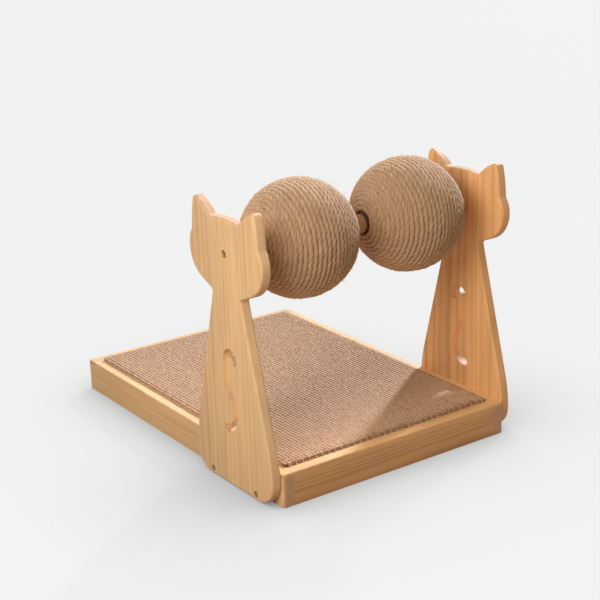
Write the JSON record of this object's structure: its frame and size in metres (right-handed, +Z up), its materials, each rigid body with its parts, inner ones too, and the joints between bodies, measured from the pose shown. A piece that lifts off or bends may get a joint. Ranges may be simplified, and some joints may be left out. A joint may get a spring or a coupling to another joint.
{
  "type": "cat scratching board",
  "caption": "Low pine tray with a woven scratch mat and cat-shaped side panels that carry rope-wound balls spinning on a wooden axle.",
  "frame": {"origin": "on the floor under the middle of the tray", "axes": "+X along the axle, +Y from the ball end of the tray to its back, +Z up"},
  "size_m": [0.324, 0.42, 0.3169],
  "materials": {
    "pine_rail": "sanded, clear matt varnish",
    "pine_panel": "sanded, clear matt varnish",
    "plywood": "raw",
    "woven_sisal": "coarse ribbed weave",
    "beech_turned": "turned and sanded",
    "sisal_rope": "twisted natural fibre",
    "core_plastic": "moulded",
    "zinc_steel": "zinc plated"
  },
  "bodies": {
    "frame": {"left_rail": "pine_rail", "right_rail": "pine_rail", "front_rail": "pine_rail", "back_rail": "pine_rail", "deck_board": "plywood", "scratch_mat": "woven_sisal", "left_side_panel": "pine_panel", "right_side_panel": "pine_panel", "axle_dowel": "beech_turned", "left_spacer": "beech_turned", "centre_spacer": "beech_turned", "right_spacer": "beech_turned", "left_foot_screws": "zinc_steel", "right_foot_screws": "zinc_steel", "left_axle_screw": "zinc_steel", "right_axle_screw": "zinc_steel"},
    "left_ball": {"left_ball_outer_half": "core_plastic", "left_ball_inner_half": "core_plastic", "left_ball_rope": "sisal_rope"},
    "right_ball": {"right_ball_outer_half": "core_plastic", "right_ball_inner_half": "core_plastic", "right_ball_rope": "sisal_rope"}
  },
  "joints": [
    {"name": "left_ball_spin", "type": "hinge", "parent": "frame", "child": "left_ball", "pos_m": [-0.071, -0.137, 0.254], "axis": [1, 0, 0], "continuous": true},
    {"name": "right_ball_spin", "type": "hinge", "parent": "frame", "child": "right_ball", "pos_m": [0.071, -0.137, 0.254], "axis": [1, 0, 0], "continuous": true}
  ]
}
